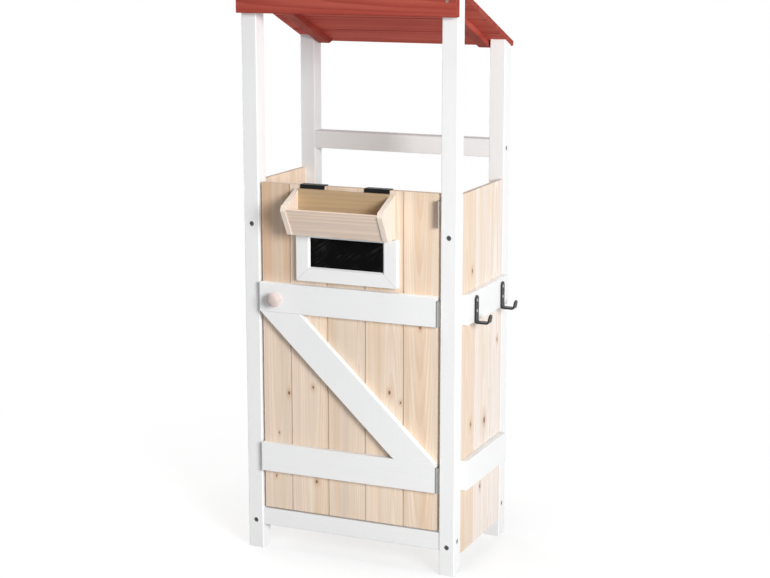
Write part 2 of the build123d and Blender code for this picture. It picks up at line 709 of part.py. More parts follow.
with BuildPart() as frame_screws:
    add([screw(place, length) for place, length in frame_screw_places])
frame_screws.part.label = "frame_screws"
export_step(frame_screws.part, "parts/frame_screws.step")

# Door boards
for index in range(DOOR_BOARDS):
    left = door_joints[index]
    right = door_joints[index + 1]
    place = Plane(origin=(left, DOOR_FACE, DOOR_Z[0]), x_dir=(1, 0, 0), z_dir=(0, 0, 1))
    height = DOOR_Z[1] - DOOR_Z[0]
    with BuildPart() as door_plank:
        add(board(place, right - left, DOOR_BOARD, height, index > 0, index < DOOR_BOARDS - 1))
        add(door_screw_holes, mode=Mode.SUBTRACT)
    door_plank.part.label = f"door_plank_{index + 1}"
    export_step(door_plank.part, f"parts/door_plank_{index + 1}.step")

# White rails and diagonal brace on the door's face
for level, centre in zip(("lower", "upper"), CROSS_RAIL_CENTRES):
    rail_z = (centre - CROSS_RAIL_HEIGHT / 2, centre + CROSS_RAIL_HEIGHT / 2)
    with BuildPart() as door_rail:
        add(beam((DOOR_LEFT, DOOR_RIGHT), (RAIL_FACE, DOOR_FACE), rail_z, Axis.X, RAIL_ROUND))
        add(door_screw_holes, mode=Mode.SUBTRACT)
    door_rail.part.label = f"door_{level}_rail"
    export_step(door_rail.part, f"parts/door_{level}_rail.step")

with BuildPart() as door_brace:
    with BuildSketch(Plane.XZ.offset(-RAIL_FACE)):
        with BuildLine():
            Polyline(
                (BRACE_TOP[0], brace_top_z),
                (BRACE_TOP[1], brace_top_z),
                (BRACE_FOOT[1], brace_foot_z),
                (BRACE_FOOT[0], brace_foot_z),
                close=True,
            )
        make_face()
    extrude(amount=-DOOR_RAIL)
    brace_run = Axis((0, 0, 0), (BRACE_FOOT[0] - BRACE_TOP[0], 0, brace_foot_z - brace_top_z))
    fillet(door_brace.edges().filter_by(brace_run), RAIL_ROUND)
    add(door_screw_holes, mode=Mode.SUBTRACT)
door_brace.part.label = "door_brace"
export_step(door_brace.part, "parts/door_brace.step")

# Turned wooden knob, its axis along Y
with BuildPart() as knob:
    with BuildSketch(Plane(origin=(KNOB[0], RAIL_FACE, KNOB[1]), x_dir=(1, 0, 0), z_dir=(0, 0, 1))):
        with BuildLine():
            Polyline((0, 0), (KNOB_BASE_R, 0), (KNOB_BASE_R, -1.5), (KNOB_NECK_R, -5))
            Spline(
                (KNOB_NECK_R, -5),
                (10.5, -10.5),
                (KNOB_R, -KNOB_BELLY),
                tangents=((-0.1, -1), (0, -1)),
            )
            EllipticalCenterArc(
                (0, -KNOB_BELLY), KNOB_R, KNOB_REACH - KNOB_BELLY, start_angle=270, arc_size=90
            )
            Line((0, -KNOB_REACH), (0, 0))
        make_face()
    revolve(axis=Axis((KNOB[0], RAIL_FACE, KNOB[1]), (0, 1, 0)))
    add(door_screw_holes, mode=Mode.SUBTRACT)
knob.part.label = "knob"
export_step(knob.part, "parts/knob.step")

# Chalkboard: a slate held in rebates in the back of its frame
slate_x = (CHALK_X[0] + CHALK_MEMBER - SLATE_REBATE, CHALK_X[1] - CHALK_MEMBER + SLATE_REBATE)
slate_z = (CHALK_Z[0] + CHALK_MEMBER - SLATE_REBATE, CHALK_Z[1] - CHALK_TOP_MEMBER + SLATE_REBATE)
with BuildPart() as slate:
    add(block(slate_x, (DOOR_FACE - SLATE_THICK, DOOR_FACE), slate_z))
slate.part.label = "slate"
export_step(slate.part, "parts/slate.step")

window_x = (CHALK_X[0] + CHALK_MEMBER, CHALK_X[1] - CHALK_MEMBER)
window_z = (CHALK_Z[0] + CHALK_MEMBER, CHALK_Z[1] - CHALK_TOP_MEMBER)
with BuildPart() as window_cut:
    add(block(slate_x, (DOOR_FACE - SLATE_THICK, DOOR_FACE), slate_z))
    with BuildSketch(Plane.XZ.offset(-(CHALK_FACE + CHALK_BEVEL))):
        with Locations((sum(window_x) / 2, sum(window_z) / 2)):
            Rectangle(window_x[1] - window_x[0], window_z[1] - window_z[0])
    extrude(amount=CHALK_BEVEL, taper=-45)
chalk_members = {
    "chalk_frame_left": (
        (CHALK_X[0], CHALK_Z[0]),
        (window_x[0], window_z[0]),
        (window_x[0], CHALK_Z[1]),
        (CHALK_X[0], CHALK_Z[1]),
    ),
    "chalk_frame_right": (
        (CHALK_X[1], CHALK_Z[0]),
        (CHALK_X[1], CHALK_Z[1]),
        (window_x[1], CHALK_Z[1]),
        (window_x[1], window_z[0]),
    ),
    "chalk_frame_bottom": (
        (CHALK_X[0], CHALK_Z[0]),
        (CHALK_X[1], CHALK_Z[0]),
        (window_x[1], window_z[0]),
        (window_x[0], window_z[0]),
    ),
    "chalk_frame_top": (
        (window_x[0], window_z[1]),
        (window_x[1], window_z[1]),
        (window_x[1], CHALK_Z[1]),
        (window_x[0], CHALK_Z[1]),
    ),
}
for label, corners in chalk_members.items():
    with BuildPart() as chalk_member:
        with BuildSketch(Plane.XZ.offset(-CHALK_FACE)):
            with BuildLine():
                Polyline(*corners, close=True)
            make_face()
        extrude(amount=-CHALK_THICK)
        add(window_cut.part, mode=Mode.SUBTRACT)
        add(door_screw_holes, mode=Mode.SUBTRACT)
    chalk_member.part.label = label
    export_step(chalk_member.part, f"parts/{label}.step")

# Strike plate of the catch
with BuildPart() as strike_plate:
    strike_z = (KNOB[1] - STRIKE[2] / 2, KNOB[1] + STRIKE[2] / 2)
    add(beam(strike_x, (DOOR_BACK, DOOR_BACK + STRIKE[1]), strike_z, Axis.Y, POST_ROUND))
    add(door_screw_holes, mode=Mode.SUBTRACT)
strike_plate.part.label = "strike_plate"
export_step(strike_plate.part, "parts/strike_plate.step")

with BuildPart() as door_screws:
    add([screw(place, length) for place, length in door_screw_places])
door_screws.part.label = "door_screws"
export_step(door_screws.part, "parts/door_screws.step")

# Trough: boards between two end plates. The front board leans out, and the ends' rims rise to
# the back.
trough_inner = (TROUGH_X[0] + TROUGH_END, TROUGH_X[1] - TROUGH_END)
nose_y = FRONT - TROUGH_REACH
lean_y = nose_y - TROUGH_SOLE
lean_z = TROUGH_NOSE_Z[0] - TROUGH_Z[0]
level_width = TROUGH_BOARD * math.hypot(lean_y, lean_z) / lean_z
front_foot = TROUGH_SOLE + TROUGH_FRONT_SETBACK
front_top = front_foot + (TROUGH_FRONT_TOP - TROUGH_Z[0]) * lean_y / lean_z
floor_shift = TROUGH_BOARD * lean_y / lean_z
trough_screw_places = []
for start in STRAP_STARTS:
    for share in (0.25, 0.75):
        spot = (start + share * STRAP_WIDTH, TROUGH_BACK + STRAP, STRAP_SCREW_Z)
        add_screw(trough_screw_places, spot, to_front, STRAP_SCREW)
trough_screw_holes = [screw_hole(place, length) for place, length in trough_screw_places]

with BuildPart() as trough_back:
    back_y = (TROUGH_BACK - TROUGH_BOARD, TROUGH_BACK)
    add(beam(trough_inner, back_y, TROUGH_Z, Axis.X, TROUGH_ROUND))
    add(trough_screw_holes, mode=Mode.SUBTRACT)
trough_back.part.label = "trough_back"
export_step(trough_back.part, "parts/trough_back.step")

with BuildPart() as trough_front:
    with BuildSketch(Plane.YZ.offset(trough_inner[0])):
        with BuildLine():
            Polyline(
                (front_foot, TROUGH_Z[0]),
                (front_top, TROUGH_FRONT_TOP),
                (front_top + level_width, TROUGH_FRONT_TOP),
                (front_foot + level_width, TROUGH_Z[0]),
                close=True,
            )
        make_face()
    extrude(amount=trough_inner[1] - trough_inner[0])
    rim_edges = trough_front.edges().filter_by(Axis.X).group_by(Axis.Z)[-1]
    fillet(rim_edges, TROUGH_ROUND)
trough_front.part.label = "trough_front"
export_step(trough_front.part, "parts/trough_front.step")

with BuildPart() as trough_bottom:
    with BuildSketch(Plane.YZ.offset(trough_inner[0])):
        with BuildLine():
            Polyline(
                (front_foot + level_width, TROUGH_Z[0]),
                (TROUGH_BACK - TROUGH_BOARD, TROUGH_Z[0]),
                (TROUGH_BACK - TROUGH_BOARD, TROUGH_Z[0] + TROUGH_BOARD),
                (front_foot + level_width + floor_shift, TROUGH_Z[0] + TROUGH_BOARD),
                close=True,
            )
        make_face()
    extrude(amount=trough_inner[1] - trough_inner[0])
trough_bottom.part.label = "trough_bottom"
export_step(trough_bottom.part, "parts/trough_bottom.step")

for side, x in zip(("left", "right"), (TROUGH_X[0], TROUGH_X[1] - TROUGH_END)):
    with BuildPart() as trough_end:
        with BuildSketch(Plane.YZ.offset(x)):
            with BuildLine():
                Polyline(
                    (TROUGH_BACK, TROUGH_Z[1]),
                    (nose_y + TROUGH_NOSE_SETBACK, TROUGH_NOSE_Z[1]),
                    (nose_y, TROUGH_NOSE_Z[0]),
                    (TROUGH_SOLE, TROUGH_Z[0]),
                    (TROUGH_BACK, TROUGH_Z[0]),
                    close=True,
                )
            make_face()
        extrude(amount=TROUGH_END)
        fillet(trough_end.edges().filter_by(Axis.X), TROUGH_ROUND)
    trough_end.part.label = f"trough_end_{side}"
    export_step(trough_end.part, f"parts/trough_end_{side}.step")

# Two straps bent over the door's top edge
strap_top = DOOR_Z[1] + DOOR_GAP + STRAP
strap_rear = DOOR_BACK + DOOR_GAP
with BuildPart() as trough_straps:
    for start in STRAP_STARTS:
        with BuildSketch(Plane.YZ.offset(start)):
            with BuildLine():
                Polyline(
                    (TROUGH_BACK, strap_top - STRAP_DROP),
                    (TROUGH_BACK, strap_top),
                    (strap_rear + STRAP, strap_top),
                    (strap_rear + STRAP, strap_top - STRAP_DROP),
                    (strap_rear, strap_top - STRAP_DROP),
                    (strap_rear, strap_top - STRAP),
                    (TROUGH_BACK + STRAP, strap_top - STRAP),
                    (TROUGH_BACK + STRAP, strap_top - STRAP_DROP),
                    close=True,
                )
            make_face()
        extrude(amount=STRAP_WIDTH)
    outer_bends = trough_straps.edges().filter_by(Axis.X).group_by(Axis.Z)[-1]
    fillet(outer_bends, STRAP_BEND)
    add(trough_screw_holes, mode=Mode.SUBTRACT)
trough_straps.part.label = "trough_straps"
export_step(trough_straps.part, "parts/trough_straps.step")

with BuildPart() as trough_screws:
    add([screw(place, length) for place, length in trough_screw_places])
trough_screws.part.label = "trough_screws"
export_step(trough_screws.part, "parts/trough_screws.step")
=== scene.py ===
import json
import math
import random

import bpy
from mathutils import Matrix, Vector

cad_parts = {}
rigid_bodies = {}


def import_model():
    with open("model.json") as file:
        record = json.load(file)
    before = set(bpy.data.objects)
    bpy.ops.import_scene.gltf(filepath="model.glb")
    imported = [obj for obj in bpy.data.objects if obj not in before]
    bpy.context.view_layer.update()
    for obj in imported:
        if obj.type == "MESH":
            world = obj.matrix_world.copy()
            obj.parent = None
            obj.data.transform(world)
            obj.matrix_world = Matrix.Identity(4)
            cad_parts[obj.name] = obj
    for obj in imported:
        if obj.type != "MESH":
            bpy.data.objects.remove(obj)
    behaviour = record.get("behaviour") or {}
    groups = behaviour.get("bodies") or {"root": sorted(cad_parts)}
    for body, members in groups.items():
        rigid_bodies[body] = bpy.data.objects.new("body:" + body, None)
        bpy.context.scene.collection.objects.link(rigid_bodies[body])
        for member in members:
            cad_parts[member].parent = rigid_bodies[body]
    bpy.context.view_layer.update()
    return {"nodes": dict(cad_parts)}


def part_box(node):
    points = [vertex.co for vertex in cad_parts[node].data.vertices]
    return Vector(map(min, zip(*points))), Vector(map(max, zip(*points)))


for leftover in list(bpy.data.objects):
    bpy.data.objects.remove(leftover)

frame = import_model()
nodes = frame["nodes"]

X, Y, Z = 0, 1, 2
AXES = (X, Y, Z)

# Camera, as the photograph is seen: metres, degrees and pixels
PICTURE_WIDTH = 770
CAMERA_PLACE = (1.645, -3.735, 1.484)
CAMERA_AZIMUTH = 23.60
CAMERA_PITCH = 11.71
FOCAL_PIXELS = 1750.0
SENSOR = 36.0

# Studio: lamps as (place, aim, size, power)
WORLD_LIGHT = 0.205
LIT_MIDDLE = (0.0, 0.0, 0.7)
KEY = ((5.00, -3.95, 2.30), LIT_MIDDLE, (2.2, 2.2), 454.0)
TOP = ((0.00, -0.25, 4.20), LIT_MIDDLE, (1.0, 1.0), 85.0)
BACK = ((-3.20, 2.20, 0.80), LIT_MIDDLE, (1.8, 1.8), 132.0)
FLOOR_REACH = 9.0  # from the middle to each edge
FLOOR_SHEEN = (0.50, 0.50, 0.50, 1)  # what it gives back to the object
FLOOR_SEEN = (0.26, 0.26, 0.26, 1)  # what the camera sees of it, added to the glow
FLOOR_GLOW = 0.730
FLOOR_FADE = (0.7, 1.7)  # from the middle of the object, where the floor turns plain white

# Colours, linear. Each wood has its earlywood, its latewood and tints that drift over the boards.
WHITE_PAINT = (0.830, 0.835, 0.838)
WHITE_GRAIN = (0.780, 0.775, 0.765)
SPRUCE_EARLY = (0.798, 0.664, 0.538)
SPRUCE_LATE = (0.590, 0.405, 0.265)
SPRUCE_WARM = (0.730, 0.555, 0.405)
SPRUCE_PINK = (0.750, 0.600, 0.505)
SPRUCE_PALE = (0.840, 0.775, 0.725)
# Brown of the door's first board up top: a darker wood tone with a painted shadow of the trough in it
SHADOWED_SPRUCE_BROWN = (0.590, 0.400, 0.265)
KNOT_DARK = (0.230, 0.120, 0.065)
KNOT_RIM = (0.480, 0.270, 0.140)
TROUGH_EARLY = (0.770, 0.635, 0.530)
TROUGH_LATE = (0.560, 0.415, 0.325)
TROUGH_WARM = (0.735, 0.580, 0.460)
TROUGH_PINK = (0.740, 0.590, 0.500)
# A darker copy of the trough wood for its back board: painted shade inside the trough
OLIVE_SHADE_EARLY = (0.470, 0.340, 0.205)
OLIVE_SHADE_LATE = (0.370, 0.255, 0.145)
OLIVE_SHADE_WARM = (0.520, 0.375, 0.215)
END_EARLY = (0.800, 0.700, 0.620)
END_LATE = (0.680, 0.540, 0.430)
RED_EARLY = (0.368, 0.066, 0.048)
RED_LATE = (0.265, 0.040, 0.029)
RED_PALE = (0.425, 0.095, 0.069)
KNOB_EARLY = (0.630, 0.535, 0.510)
KNOB_LATE = (0.550, 0.440, 0.400)
SLATE_BLACK = (0.0035, 0.0035, 0.0038)
CHALK_DUST = (0.060, 0.062, 0.064)
STRAP_BLACK = (0.0030, 0.0030, 0.0033)
STRAP_WORN = (0.012, 0.012, 0.013)
HOOK_BLACK = (0.010, 0.010, 0.011)
HOOK_WORN = (0.030, 0.030, 0.031)
HINGE_ZINC = (0.350, 0.340, 0.320)
HINGE_WORN = (0.420, 0.410, 0.390)
BOLT_GREY = (0.110, 0.115, 0.120)
BOLT_WORN = (0.200, 0.200, 0.200)
SCREW_ZINC = (0.620, 0.615, 0.600)
SCREW_WORN = (0.500, 0.490, 0.460)
# Darker zinc: painted shade on the top hinge in its gap, and darker fascia screws
DARKER_ZINC = (0.300, 0.265, 0.230)
CATCH_PLASTIC = (0.550, 0.530, 0.490)

# Where a board was cut from its log: ranges in metres, and the pith's place as a share of the width
PITH_ACROSS = (-0.4, 0.4)
PITH_DEPTH = (0.014, 0.05)
LEAN_ACROSS = (-0.025, 0.025)
LEAN_DEPTH = (0.010, 0.035)
NOISE_SEEDS = (0, 50)

# Growth rings: noise as waves per metre (across the grain, along it), its push in metres,
# and where in each year the latewood comes and goes
RING_WAVE = (9.0, 1.6)
RING_RIPPLE = (60.0, 9.0)
WAVE_PUSH = 0.016
RIPPLE_PUSH = 0.0012
YEAR_SHIFT = 0.6
LATE_COMES = (0.30, 0.88)
LATE_GOES = (1.0, 0.93)

# Knots: sizes in radii of the knot, and random ones as shares of half a board and of the usual radius
KNOT_ALONG = 0.62  # how much the grain's direction counts in the distance from a knot
KNOT_HALO = 2.6
KNOT_EDGE = (1.08, 0.72)
KNOT_PUSH = 1.4
KNOT_RIM_SHARE = 0.55
KNOT_USUAL = 0.0045
KNOT_SIZES = (0.55, 1.25)
KNOT_SPREAD_ACROSS = 0.38
KNOT_SPREAD_ALONG = 0.44

# Wood: more noise as waves per metre, the range of it that counts, and shares of light or colour
TINT_DRIFT = (34.0, 0.8)
STREAK_BAND = (58.0, 1.1)
FIBRE = (620.0, 16.0)
WARM_DRIFT, WARM_SHARE = (0.48, 0.66), 0.85
COOL_DRIFT, COOL_SHARE = (0.50, 0.32), 0.75
LATE_BAND = (0.25, 0.80)
BOARD_LIGHT = (0.965, 1.03)
FIBRE_LIGHT = 0.10
END_SHADE = 0.12
WOOD_RELIEF = 0.00035
WOOD_BUMP = 0.55
WOOD_GLOSS = 0.25
RED_GLOSS = 0.04
# Shares of painted shade in the bevels between boards, with some grime
GROOVE_SHADE = 0.30
PALE_GROOVE_SHADE = 0.14
# Browning of the door's first board: partly a darker wood tone, partly a painted shadow of the trough
BROWN_SHADOW_ABOVE = 0.66  # on the front face of the door's first board
BROWN_SHADOW_BLEND = 0.04
BROWN_SHADOW_DEPTH = (0.002, -0.005)
BROWN_SHADOW_BAND, BROWN_SHADOW_SHARE = (0.22, 0.60), 0.9

# How far a face is turned: to the board's end, into a bevel and out of it, and down
TO_THE_END = (0.6, 0.9)
INTO_BEVEL = (0.35, 0.60)
OUT_OF_BEVEL = (0.97, 0.85)
DOWNWARDS = (-0.5, -0.9)

# Paint, with its mitre lines
BRUSH_STROKE = (240.0, 5.0)
PAINT_DRIFT = (14.0, 2.2)
PAINT_RINGS = 0.0048
THIN_DRIFT = (0.35, 0.8)
THIN_ON_RINGS = 0.30
THIN_ON_ENDS = 0.35
STROKE_LIGHT = 0.035
DRIFT_LIGHT = 0.02
PAINT_LIGHT = 0.972
PAINT_ROUGHNESS = 0.46
SMOOTHEST_PAINT = 0.40
STROKE_ROUGHNESS = 0.14
PAINT_RELIEF = 0.00022
PAINT_BUMP = 0.5
PAINT_GLOSS = 0.35
SEAM_WIDTH = 0.0005  # from the line's middle
SEAM_SHADE = 0.45

# Metal, chalkboard and plastic: noise in waves per metre, and the range of it that counts
METAL_CLOUD = (90.0, 90.0, 90.0)
METAL_GRIT = (1400.0, 1400.0, 1400.0)
WORN_CLOUD, WORN_SHARE = (0.50, 0.75), 0.6
METAL_RELIEF = 0.00008
WIPE_ALONG, WIPE_UP = 0.82, 0.57  # the wiping's slant, as its cosine and sine
WIPE_STROKE = (26.0, 5.0, 240.0)
WIPE_PATCH = (30.0, 5.0, 34.0)
SLATE_GRIT = (1800.0, 1800.0, 1800.0)
STROKE_DUST, PATCH_DUST, WIPED_SHARE = (0.46, 0.72), (0.42, 0.70), 0.30
GRIT_DUST, GRIT_SHARE = (0.62, 0.80), 0.03
SLATE_RELIEF = 0.00006
PLASTIC_GRIT = (900.0, 900.0, 900.0)
PLASTIC_CLOUD = (60.0, 60.0, 60.0)
PLASTIC_RELIEF = 0.00005

# Heights in metres over which plated steel is painted darker: painted shade on the top hinge in its gap, and
# darker screws in the fascia
TOP_HINGE_FOOT = 0.80
FASCIA_SCREWS_FOOT = 1.15
DARKER_BLEND = 0.001


class Field:
    """A number that varies over a surface. Arithmetic on it adds Math nodes to its material."""

    def __init__(self, paint, socket):
        self.paint = paint
        self.socket = socket

    def math(self, operation, other=0.0):
        return self.paint.math(operation, self, other)

    def __add__(self, other):
        return self.math("ADD", other)

    def __sub__(self, other):
        return self.math("SUBTRACT", other)

    def __mul__(self, other):
        return self.math("MULTIPLY", other)

    def __truediv__(self, other):
        return self.math("DIVIDE", other)

    def absolute(self):
        return self.math("ABSOLUTE")

    def root(self):
        return self.math("SQRT")

    def fraction(self):
        return self.math("FRACT")

    def greatest(self, other):
        return self.math("MAXIMUM", other)

    def bell(self, width):
        """1 where the number is 0, falling away smoothly over that width."""
        scaled = self / width
        return (scaled * scaled * -1.0).math("EXPONENT")

    def ease(self, low, high):
        """0 below low, 1 above high, and smooth between them; low may be the larger."""
        settings = {"interpolation_type": "SMOOTHSTEP", "clamp": True}
        ranged = self.paint.node("ShaderNodeMapRange", {0: self, 1: low, 2: high}, **settings)
        return Field(self.paint, ranged.outputs[0])


class Paint:
    """One material and the nodes in it. A value is a number, a colour, a Field or a socket."""

    def __init__(self, name, roughness, metallic=0.0, gloss=0.5):
        self.material = bpy.data.materials.new(name)
        self.material.use_nodes = True
        self.tree = self.material.node_tree
        self.surface = self.tree.nodes["Principled BSDF"]
        self.surface.inputs["Roughness"].default_value = roughness
        self.surface.inputs["Metallic"].default_value = metallic
        self.surface.inputs["Specular IOR Level"].default_value = gloss
        place = self.node("ShaderNodeTexCoord")
        self.place = place.outputs["Object"]
        self.at = self.parts(self.place)
        self.facing = self.parts(place.outputs["Normal"])

    def node(self, kind, inputs=None, **settings):
        made = self.tree.nodes.new(kind)
        for key, value in settings.items():
            setattr(made, key, value)
        for key, value in (inputs or {}).items():
            self.feed(made.inputs[key], value)
        return made

    def feed(self, socket, value):
        if isinstance(value, Field):
            value = value.socket
        if isinstance(value, bpy.types.NodeSocket):
            self.tree.links.new(value, socket)
        elif isinstance(value, tuple) and len(value) == 3 and socket.type == "RGBA":
            socket.default_value = (*value, 1)
        else:
            socket.default_value = value

    def math(self, operation, a, b=0.0):
        made = self.node("ShaderNodeMath", {0: a, 1: b}, operation=operation)
        return Field(self, made.outputs[0])

    def parts(self, vector):
        split = self.node("ShaderNodeSeparateXYZ", {0: vector})
        return [Field(self, socket) for socket in split.outputs]

    def vector(self, x, y, z):
        return self.node("ShaderNodeCombineXYZ", {0: x, 1: y, 2: z}).outputs[0]

    def noise(self, scales, detail=2.0, seed=0.0, axes=None):
        """Noise from 0 to 1 with its own number of waves per metre along each axis."""
        at = axes or self.at
        stretched = [at[axis] * scales[axis] + seed for axis in AXES]
        made = self.node("ShaderNodeTexNoise", {"Vector": self.vector(*stretched)})
        made.inputs["Scale"].default_value = 1.0
        made.inputs["Detail"].default_value = detail
        return Field(self, made.outputs[0])

    def mix(self, share, a, b, blend="MIX"):
        made = self.node("ShaderNodeMix", data_type="RGBA", blend_type=blend)
        self.feed(made.inputs[0], share)
        self.feed(made.inputs[6], a)
        self.feed(made.inputs[7], b)
        return made.outputs[2]

    def shade(self, colour, amount):
        """The colour made lighter or darker by a Field around 1."""
        return self.mix(1.0, colour, self.vector(amount, amount, amount), "MULTIPLY")

    def colour(self, value):
        self.feed(self.surface.inputs["Base Color"], value)

    def roughness(self, value):
        self.feed(self.surface.inputs["Roughness"], value)

    def bump(self, height, depth, strength=1.0):
        made = self.node("ShaderNodeBump", {"Height": height})
        made.inputs["Strength"].default_value = strength
        made.inputs["Distance"].default_value = depth
        self.feed(self.surface.inputs["Normal"], made.outputs[0])


class Board:
    """The growth rings of one board: which way its grain runs, and where its pith was in the log."""

    def __init__(self, node, grain):
        self.draw = random.Random(node)
        low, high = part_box(node)
        across = sorted((axis for axis in AXES if axis != grain), key=lambda axis: high[axis] - low[axis])
        self.grain = grain
        self.thick, self.wide = across
        self.middle = (low + high) / 2
        self.size = high - low
        self.seed = self.draw.uniform(*NOISE_SEEDS)
        self.pith_across = self.middle[self.wide] + self.draw.uniform(*PITH_ACROSS) * self.size[self.wide]
        self.pith_depth = self.middle[self.thick] + self.draw.choice((-1, 1)) * self.draw.uniform(*PITH_DEPTH)
        self.lean_across = self.draw.uniform(*LEAN_ACROSS)
        self.lean_depth = self.draw.uniform(*LEAN_DEPTH) * self.draw.choice((-1, 1))

    def scales(self, across, along):
        waves = [across] * 3
        waves[self.grain] = along
        return waves

    def random_knots(self, count):
        """That many knots at seeded places, as (across, along, radius)."""
        half_width = self.size[self.wide] * KNOT_SPREAD_ACROSS
        half_length = self.size[self.grain] * KNOT_SPREAD_ALONG
        return [
            (
                self.middle[self.wide] + self.draw.uniform(-half_width, half_width),
                self.middle[self.grain] + self.draw.uniform(-half_length, half_length),
                KNOT_USUAL * self.draw.uniform(*KNOT_SIZES),
            )
            for _ in range(count)
        ]


def rings(paint, board, spacing, knots=()):
    """From 0 to 1: the dark latewood of each growth ring, the nearness of a knot, and its inside."""
    along = paint.at[board.grain] - board.middle[board.grain]
    wave = paint.noise(board.scales(*RING_WAVE), 2.0, board.seed) - 0.5
    ripple = paint.noise(board.scales(*RING_RIPPLE), 1.0, board.seed + 7) - 0.5
    across = paint.at[board.wide] - board.pith_across + along * board.lean_across + wave * WAVE_PUSH
    depth = paint.at[board.thick] - board.pith_depth + along * board.lean_depth
    radius = (across * across + depth * depth).root() + ripple * RIPPLE_PUSH
    near, inside = None, None
    for knot_across, knot_along, size in knots:
        beside = paint.at[board.wide] - knot_across
        beyond = (paint.at[board.grain] - knot_along) * KNOT_ALONG
        distance = (beside * beside + beyond * beyond).root()
        halo = distance.bell(size * KNOT_HALO)
        core = distance.ease(*(size * edge for edge in KNOT_EDGE))
        radius = radius + halo * size * KNOT_PUSH
        near = halo if near is None else near.greatest(halo)
        inside = core if inside is None else inside.greatest(core)
    year = (radius / spacing + wave * YEAR_SHIFT).fraction()
    late = year.ease(*LATE_COMES) * year.ease(*LATE_GOES)
    return late, near, inside


def sawn_end(paint, board):
    """1 on the two ends of a board and 0 on its faces."""
    return paint.facing[board.grain].absolute().ease(*TO_THE_END)


def wood(
    node, grain, tones, spacing=0.0042, contrast=0.5, knots=(), roughness=0.55, gloss=WOOD_GLOSS,
    streak=0.15, bevel_shade=0.0, brown_and_shadow=False, underside_light=0.0,
):
    """Bare or stained wood of one node, in a material of the same name.

    tones are the earlywood, the latewood and two tints that drift over the board.
    spacing is from ring to ring, and contrast is how dark the latewood is.
    knots are (across, along, radius) each, or how many to draw at random.
    streak is how much the light and dark streaks differ.
    bevel_shade darkens the bevels along the board's edges, as painted shade with some grime, and
    underside_light lightens the face that looks down, as painted light.
    brown_and_shadow browns the upper part of the board's front: partly a darker wood tone, partly a painted
    shadow of the trough above.
    """
    early, late_tone, warm, cool = tones
    board = Board(node, grain)
    if isinstance(knots, int):
        knots = board.random_knots(knots)
    paint = Paint(node, roughness, gloss=gloss)
    late, near, inside = rings(paint, board, spacing, knots)
    drift = paint.noise(board.scales(*TINT_DRIFT), 2.0, board.seed + 3)
    band = paint.noise(board.scales(*STREAK_BAND), 3.0, board.seed + 11)
    fibre = paint.noise(board.scales(*FIBRE), 2.0, board.seed + 5)
    colour = paint.mix(drift.ease(*WARM_DRIFT) * WARM_SHARE, early, warm)
    colour = paint.mix(drift.ease(*COOL_DRIFT) * COOL_SHARE, colour, cool)
    # Upper front of the board browned: partly a darker wood tone, partly a painted shadow of the trough
    if brown_and_shadow:
        up = paint.at[Z].ease(BROWN_SHADOW_ABOVE - BROWN_SHADOW_BLEND, BROWN_SHADOW_ABOVE + BROWN_SHADOW_BLEND)
        front = (paint.at[Y] - board.middle[Y]).ease(*BROWN_SHADOW_DEPTH)
        brown = up * front * band.ease(*BROWN_SHADOW_BAND) * BROWN_SHADOW_SHARE
        colour = paint.mix(brown, colour, SHADOWED_SPRUCE_BROWN)
    colour = paint.mix(late * band.ease(*LATE_BAND) * contrast, colour, late_tone)
    if near is not None:
        colour = paint.mix(near * KNOT_RIM_SHARE, colour, KNOT_RIM)
        colour = paint.mix(inside, colour, KNOT_DARK)
    end = sawn_end(paint, board)
    overall = board.draw.uniform(*BOARD_LIGHT)
    light = (fibre - 0.5) * FIBRE_LIGHT + (band - 0.5) * streak - end * END_SHADE + overall
    # Painted shade in the bevels along the board's edges, with some grime
    if bevel_shade:
        side = paint.facing[board.wide].absolute()
        light = light * (side.ease(*INTO_BEVEL) * side.ease(*OUT_OF_BEVEL) * -bevel_shade + 1.0)
    # Painted light: faces that look down are lightened, as if lit from below
    if underside_light:
        light = light * (paint.facing[Z].ease(*DOWNWARDS) * underside_light + 1.0)
    paint.colour(paint.shade(colour, light))
    paint.bump(late * 0.5 + fibre * 0.5, WOOD_RELIEF, WOOD_BUMP)
    return paint.material


def painted(node, grain, seams=()):
    """White paint over one node of wood: the grain just shows, with the brush strokes along it.

    seams are mitres on its face, as (corner x, corner z, 1 where it rises to the right or else -1).
    """
    board = Board(node, grain)
    paint = Paint(node, PAINT_ROUGHNESS, gloss=PAINT_GLOSS)
    late = rings(paint, board, PAINT_RINGS)[0]
    stroke = paint.noise(board.scales(*BRUSH_STROKE), 2.0, board.seed + 2)
    drift = paint.noise(board.scales(*PAINT_DRIFT), 2.0, board.seed + 9)
    thin = late * drift.ease(*THIN_DRIFT) * THIN_ON_RINGS + sawn_end(paint, board) * THIN_ON_ENDS
    colour = paint.mix(thin, WHITE_PAINT, WHITE_GRAIN)
    light = stroke * STROKE_LIGHT + drift * DRIFT_LIGHT + PAINT_LIGHT
    for corner_x, corner_z, way in seams:
        off_line = (paint.at[X] - corner_x) * way - (paint.at[Z] - corner_z)
        light = light * (off_line.bell(SEAM_WIDTH) * -SEAM_SHADE + 1.0)
    paint.colour(paint.shade(colour, light))
    paint.roughness(stroke * STROKE_ROUGHNESS + SMOOTHEST_PAINT)
    paint.bump(late * 0.5 + stroke * 0.6, PAINT_RELIEF, PAINT_BUMP)
    return paint.material


